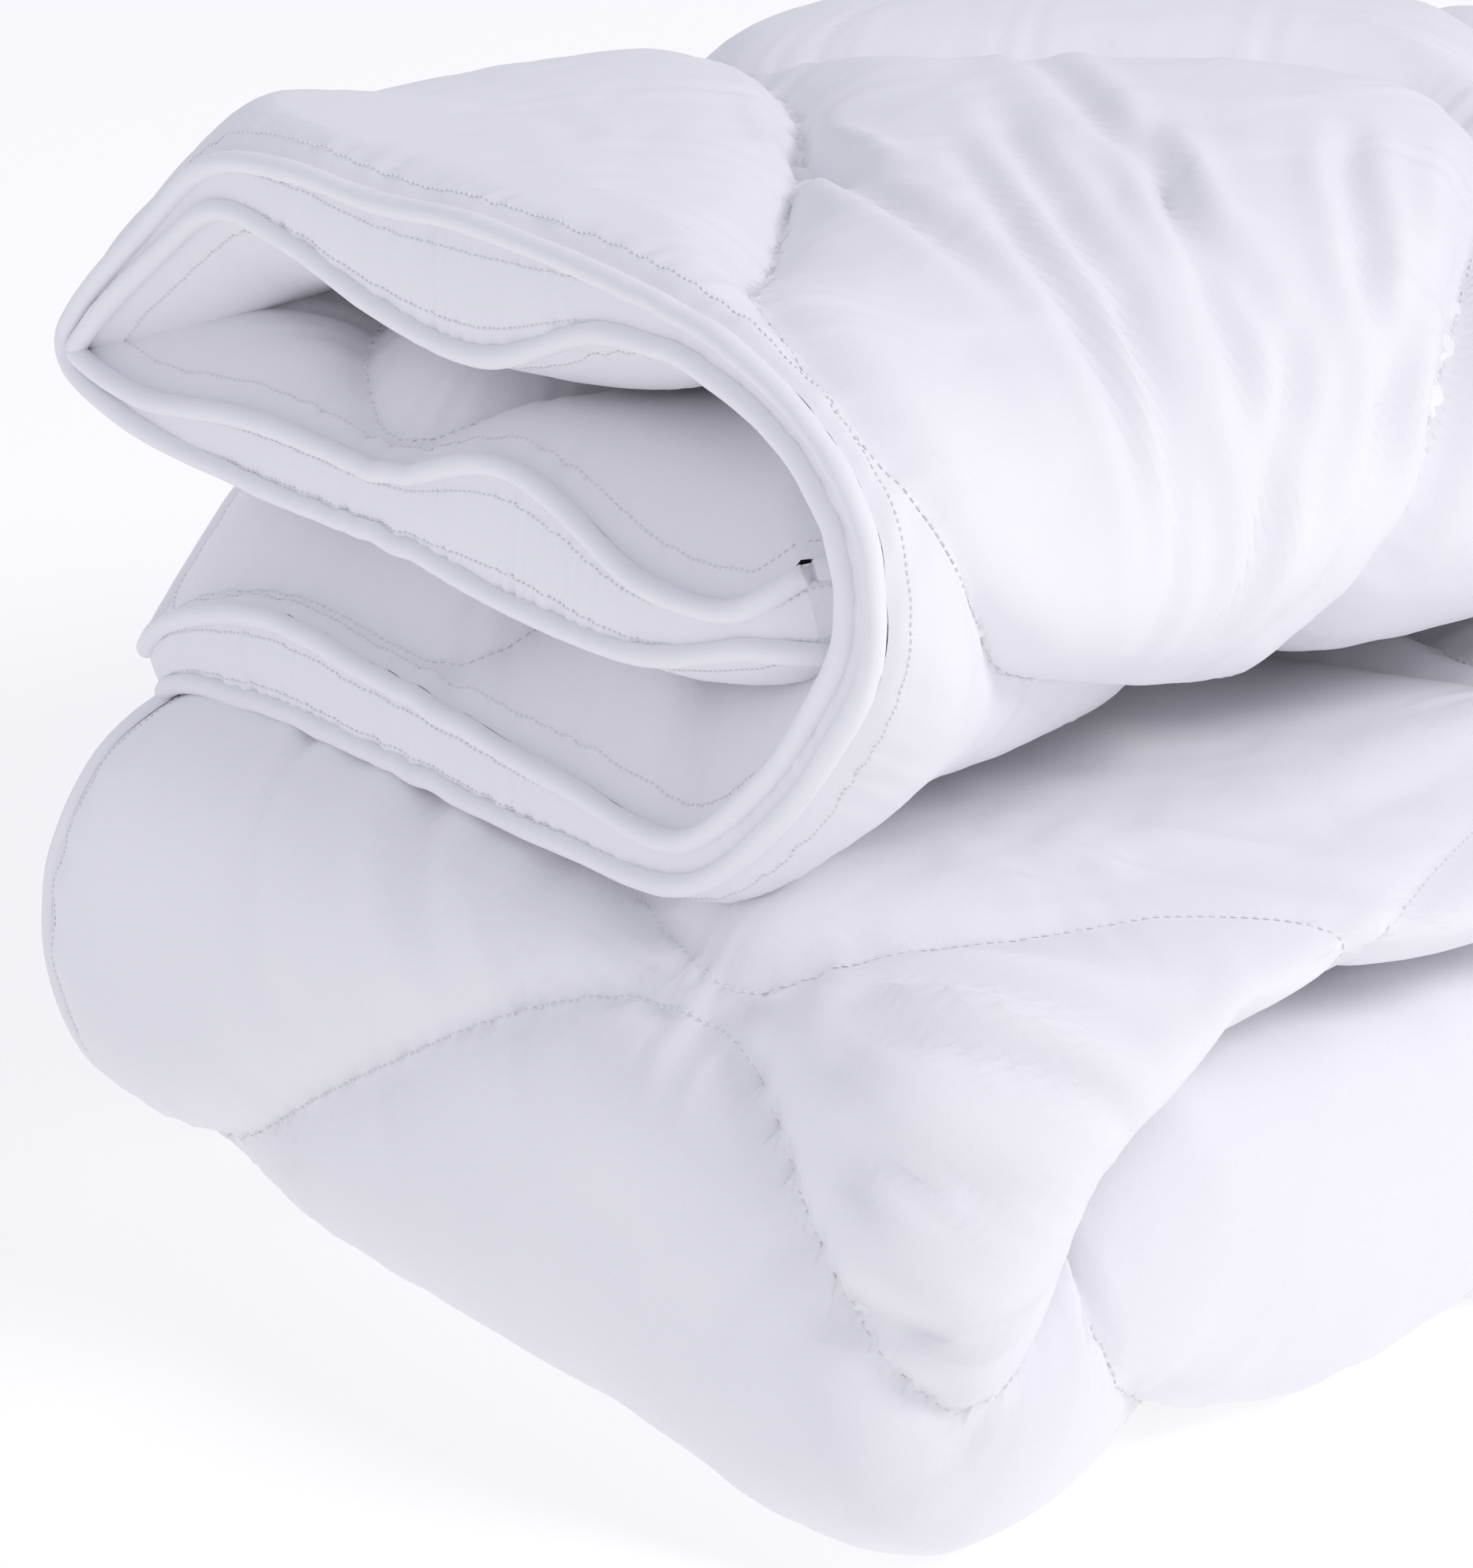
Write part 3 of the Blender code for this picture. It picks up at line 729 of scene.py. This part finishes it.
def quilting(name, read, side):
    """The stitches along every quilting line."""
    parts = []
    u = np.linspace(QUILT_MARGIN, WIDTH - QUILT_MARGIN, 900)
    for k in range(LINES):
        v = np.interp(wave_line(k, u), PATTERN_ENDS, RUN_ENDS)
        keep = (v > QUILT_MARGIN) & (v < LENGTH - QUILT_MARGIN)
        if keep.sum() > 10:
            parts.append(stitch_along(u[keep], v[keep], read, QUILT_PITCH))
    return join_stitches(name, parts, side)


def top_stitching(name, read, side):
    """The row of stitches beside the piping, all round the panel."""
    u, v = edge_path(0.002)
    u, v = inward(np.clip(u, 0, WIDTH), v, STITCH_INSET)
    return join_stitches(name, [stitch_along(u, v, read, EDGE_PITCH)], side)


# ---------------------------------------------------------------- materials
CLOTH = (0.885, 0.878, 0.913)
WADDING_SHARE = 0.6


def node(tree, kind, place=(0, 0), **sockets):
    made = tree.nodes.new(kind)
    made.location = place
    for name, value in sockets.items():
        made.inputs[name.replace("_", " ")].default_value = value
    return made


def fabric(name, colour, roughness, sheen, weave, fuzz, mottle):
    """Brushed cloth: a fine weave and a coarser slub in the bump, faint mottling in colour."""
    made = bpy.data.materials.new(name)
    made.use_nodes = True
    tree = made.node_tree
    shader = tree.nodes["Principled BSDF"]
    shader.inputs["Roughness"].default_value = roughness
    shader.inputs["Sheen Weight"].default_value = sheen
    shader.inputs["Sheen Roughness"].default_value = 0.45
    shader.inputs["Specular IOR Level"].default_value = 0.25
    shader.inputs["Subsurface Weight"].default_value = 0.0
    where = node(tree, "ShaderNodeTexCoord", (-1200, 0))
    slub = node(tree, "ShaderNodeTexNoise", (-900, -100), Scale=fuzz, Detail=5.0,
                Roughness=0.62)
    threads = node(tree, "ShaderNodeTexNoise", (-900, -400), Scale=weave, Detail=2.0,
                   Roughness=0.5)
    cloud = node(tree, "ShaderNodeTexNoise", (-900, 250), Scale=9.0, Detail=4.0)
    for texture in (slub, threads, cloud):
        tree.links.new(where.outputs["Object"], texture.inputs["Vector"])
    tint = node(tree, "ShaderNodeMix", (-500, 250))
    tint.data_type = "RGBA"
    tint.inputs["A"].default_value = (*colour, 1)
    tint.inputs["B"].default_value = (*[c * (1 - mottle) for c in colour], 1)
    tree.links.new(cloud.outputs["Fac"], tint.inputs["Factor"])
    tree.links.new(tint.outputs["Result"], shader.inputs["Base Color"])
    wide = node(tree, "ShaderNodeBump", (-500, -100), Strength=0.22, Distance=0.0006)
    fine = node(tree, "ShaderNodeBump", (-250, -250), Strength=0.35, Distance=0.00018)
    tree.links.new(slub.outputs["Fac"], wide.inputs["Height"])
    tree.links.new(threads.outputs["Fac"], fine.inputs["Height"])
    tree.links.new(wide.outputs["Normal"], fine.inputs["Normal"])
    tree.links.new(fine.outputs["Normal"], shader.inputs["Normal"])
    return made


def twisted(name, colour, turns):
    """Thread or cord: a fine diagonal twist in the bump."""
    made = fabric(name, colour, 0.62, 0.15, 2600.0, 500.0, 0.03)
    tree = made.node_tree
    shader = tree.nodes["Principled BSDF"]
    where = tree.nodes["Texture Coordinate"]
    ply = node(tree, "ShaderNodeTexWave", (-900, -700), Scale=turns, Distortion=0.6)
    ply.bands_direction = "DIAGONAL"
    tree.links.new(where.outputs["Object"], ply.inputs["Vector"])
    lay = node(tree, "ShaderNodeBump", (-100, -500), Strength=0.5, Distance=0.0002)
    tree.links.new(ply.outputs["Fac"], lay.inputs["Height"])
    before = shader.inputs["Normal"].links[0].from_socket
    tree.links.new(before, lay.inputs["Normal"])
    tree.links.new(lay.outputs["Normal"], shader.inputs["Normal"])
    return made


def plain(name, colour, roughness):
    made = bpy.data.materials.new(name)
    made.use_nodes = True
    shader = made.node_tree.nodes["Principled BSDF"]
    shader.inputs["Base Color"].default_value = (*colour, 1)
    shader.inputs["Roughness"].default_value = roughness
    shader.inputs["Specular IOR Level"].default_value = 0.1
    return made


# ---------------------------------------------------------------- the studio
CAMERA_AZIMUTH, CAMERA_ELEVATION = math.radians(50.3), math.radians(21.4)
CAMERA_DISTANCE = 1.80
CAMERA_LENS = 142.2
AIM = (-0.106, 0.021, 0.230)  # from the stack's near bottom corner
FLOOR_COLOUR, FLOOR_GLOW = (0.62, 0.62, 0.62), 0.50
SKY_COLOUR, SKY_STRENGTH = (0.90, 0.905, 1, 1), 0.70
KEY_PLACE, KEY_AIM, KEY_SIZE, KEY_POWER = (2.4, 0.8, 2.2), (0, 0, 0.15), 0.9, 33
KEY_COLOUR = (1.0, 0.985, 0.96)


def add_camera():
    a, e = CAMERA_AZIMUTH, CAMERA_ELEVATION
    back = Vector((math.sin(a) * math.cos(e), -math.cos(a) * math.cos(e), math.sin(e)))
    aim = Vector((RIGHT, FRONT, 0)) + Vector(AIM)
    data = bpy.data.cameras.new("camera")
    data.lens = CAMERA_LENS
    camera = bpy.data.objects.new("camera", data)
    camera.location = aim + back * CAMERA_DISTANCE
    camera.rotation_euler = back.to_track_quat("Z", "Y").to_euler()
    data.clip_end = 50
    bpy.context.scene.collection.objects.link(camera)
    bpy.context.scene.camera = camera


def add_area(name, place, aim, size, power, colour=(1, 1, 1)):
    data = bpy.data.lights.new(name, "AREA")
    data.shape, data.size, data.energy, data.color = "DISK", size, power, colour
    lamp = bpy.data.objects.new(name, data)
    lamp.location = place
    lamp.rotation_euler = (Vector(place) - Vector(aim)).to_track_quat("Z", "Y").to_euler()
    bpy.context.scene.collection.objects.link(lamp)


def glowing(name, colour, glow):
    """A pale matt surface that glows a little, so that shadows on it stay faint."""
    made = plain(name, colour, 0.95)
    shader = made.node_tree.nodes["Principled BSDF"]
    shader.inputs["Emission Color"].default_value = (1, 1, 1, 1)
    shader.inputs["Emission Strength"].default_value = glow
    return made


def add_studio():
    bpy.ops.mesh.primitive_plane_add(size=40, location=(0, 0, -0.0005))
    floor = bpy.context.object
    floor.name = "floor"
    floor.data.materials.append(glowing("white_floor", FLOOR_COLOUR, FLOOR_GLOW))
    world = bpy.data.worlds.new("studio")
    world.use_nodes = True
    sky = world.node_tree.nodes["Background"]
    sky.inputs["Color"].default_value = SKY_COLOUR
    sky.inputs["Strength"].default_value = SKY_STRENGTH
    bpy.context.scene.world = world
    add_area("key", KEY_PLACE, KEY_AIM, KEY_SIZE, KEY_POWER, KEY_COLOUR)
    settings = bpy.context.scene.view_settings
    settings.view_transform = "Standard"
    settings.look = "None"


# ---------------------------------------------------------------- put together
def finish_piece(piece, material, nodes):
    """Rides the piece on the body, in its material, for the CAD nodes it stands for."""
    piece.data.materials.clear()
    piece.data.materials.append(material)
    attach(piece, "root")
    if nodes:
        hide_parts(*nodes)


def add_panels(shell):
    """Both shells. Gives back what reads places and normals on each."""
    face, face_places = cloth_panel("face_shell", FACE_U, FACE_V, 1, True)
    finish_piece(face, shell, ["face_panel"])
    back, back_places = cloth_panel("back_shell", BACK_U, BACK_V, -1, False)
    finish_piece(back, shell, ["back_panel"])
    return (face, back), sampler(FACE_U, FACE_V, face_places), sampler(BACK_U, BACK_V, back_places)


def add_gussets(strip):
    """The four gussets. Gives back their runs of stitches."""
    runs = []
    for name, along_u, far in (
        ("head_gusset", True, False), ("foot_gusset", True, True),
        ("tucked_side_gusset", False, False), ("free_side_gusset", False, True),
    ):
        made, seams = gusset(f"{name}_strip", along_u, far)
        finish_piece(made, strip, [name])
        runs += seams
    return runs


def add_pipings(bias, cotton):
    for name, side in (("face_piping", 1), ("back_piping", -1)):
        cover, cord = piping(f"{name}_run", side)
        finish_piece(cover, bias, [f"{name}_cover"])
        finish_piece(cord, cotton, [f"{name}_cord"])


def add_stitches(runs, read_face, read_back, thread):
    rows = join_stitches("gusset_stitching", runs, 1)
    finish_piece(rows, thread, [])
    for name, read, side in (("face", read_face, 1), ("back", read_back, -1)):
        for made in (quilting(f"{name}_quilting", read, side),
                     top_stitching(f"{name}_top_stitching", read, side)):
            finish_piece(made, thread, [])


def add_wadding(fibre):
    """The filling: a closed body, thinner than the space between the shells."""
    us, vs = graded((WIDTH - 0.012, 0.012)), graded((LENGTH - 0.012, 0.014))
    u, v = np.meshgrid(us[us > 0.011], vs[vs > 0.011])
    core = half_thickness(u, v, 0.0) * WADDING_SHARE
    above, below = fold(u, v, core), fold(u, v, -core)
    rows, columns = u.shape
    rim = np.concatenate([
        np.arange(columns), np.arange(1, rows) * columns + columns - 1,
        (rows - 1) * columns + np.arange(columns - 2, -1, -1),
        np.arange(rows - 2, 0, -1) * columns])
    after = np.roll(rim, -1)
    count = rows * columns
    faces = np.concatenate([
        grid_faces(rows, columns), grid_faces(rows, columns, True) + count,
        np.stack([rim, rim + count, after + count, after], -1)])
    points = np.concatenate([above.reshape(-1, 3), below.reshape(-1, 3)])
    wadding = make_mesh("wadding_fill", points, faces)
    finish_piece(wadding, fibre, ["wadding"])


def dress_label():
    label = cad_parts["care_label"]
    label.data.materials.clear()
    label.data.materials.append(
        fabric("label_satin", (0.88, 0.88, 0.88), 0.45, 0.1, 3200.0, 700.0, 0.02))


def build():
    shell = fabric("white_microfibre", CLOTH, 0.80, 0.12, 2400.0, 340.0, 0.02)
    strip = fabric("gusset_cloth", CLOTH, 0.80, 0.12, 2400.0, 340.0, 0.02)
    bias = fabric("piping_cloth", (0.89, 0.883, 0.918), 0.8, 0.12, 2800.0, 500.0, 0.02)
    thread = twisted("sewing_thread", (0.93, 0.93, 0.95), 900.0)
    cotton = twisted("cotton_cord", (0.86, 0.84, 0.80), 500.0)
    fibre = fabric("hollowfibre", (0.93, 0.93, 0.94), 0.95, 0.4, 900.0, 120.0, 0.05)

    panels, read_face, read_back = add_panels(shell)
    runs = add_gussets(strip)
    add_pipings(bias, cotton)
    add_stitches(runs, read_face, read_back, thread)
    add_wadding(fibre)
    dress_label()


add_camera()
add_studio()
build()
